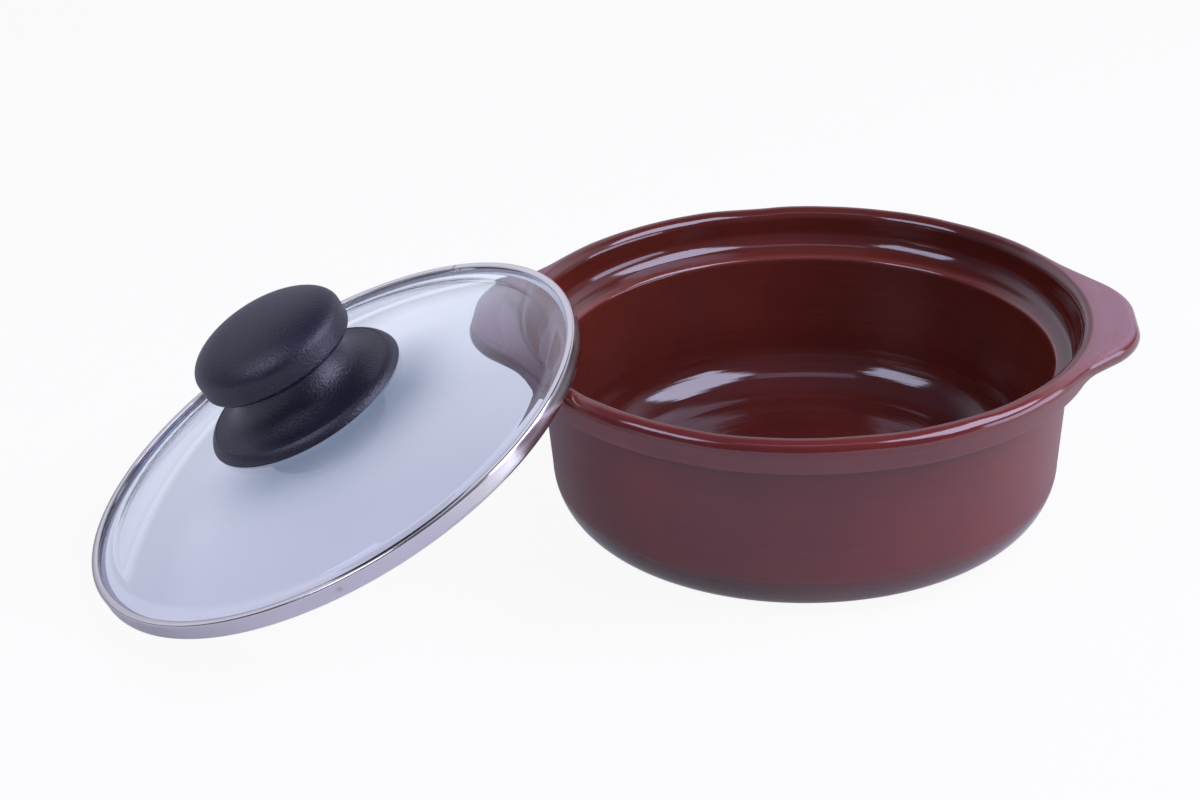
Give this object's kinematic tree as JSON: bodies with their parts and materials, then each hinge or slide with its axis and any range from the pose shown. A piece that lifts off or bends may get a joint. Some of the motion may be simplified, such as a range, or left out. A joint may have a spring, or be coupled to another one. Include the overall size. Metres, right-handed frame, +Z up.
{
  "type": "saucepan",
  "caption": "Round glazed clay saucepan with two ears, a stepped rim that seats a lid, and a domed glass lid with a steel band and a black knob, leaning on the pot.",
  "frame": {"origin": "middle of the pot's flat base, on the table", "axes": "+Z up the pot's axis, +X through the right ear, so the lid lies towards -X and the picture is taken from -Y"},
  "size_m": [0.3829, 0.2501, 0.1029],
  "materials": {
    "glazed_clay": "brown glaze, glossy inside and satin outside",
    "glass": "clear tempered glass",
    "steel_band": "polished lip, finely brushed face",
    "knob_plastic": "black, satin, finely grained",
    "brass": "plain",
    "gasket_rubber": "matt black",
    "washer_steel": "bright pressed steel",
    "screw_steel": "bright steel"
  },
  "bodies": {
    "pot": {"pot_body": "glazed_clay"},
    "lid": {"lid_glass": "glass", "lid_band": "steel_band", "knob": "knob_plastic", "knob_insert": "brass", "knob_gasket": "gasket_rubber", "glass_grommet": "gasket_rubber", "cup_washer": "washer_steel", "knob_screw": "screw_steel"}
  },
  "joints": [
    {"name": "lid_lift", "type": "slide", "parent": "pot", "child": "lid", "axis": [-0.4117, -0.1362, 0.9011], "range_m": [0, 0.12]}
  ]
}
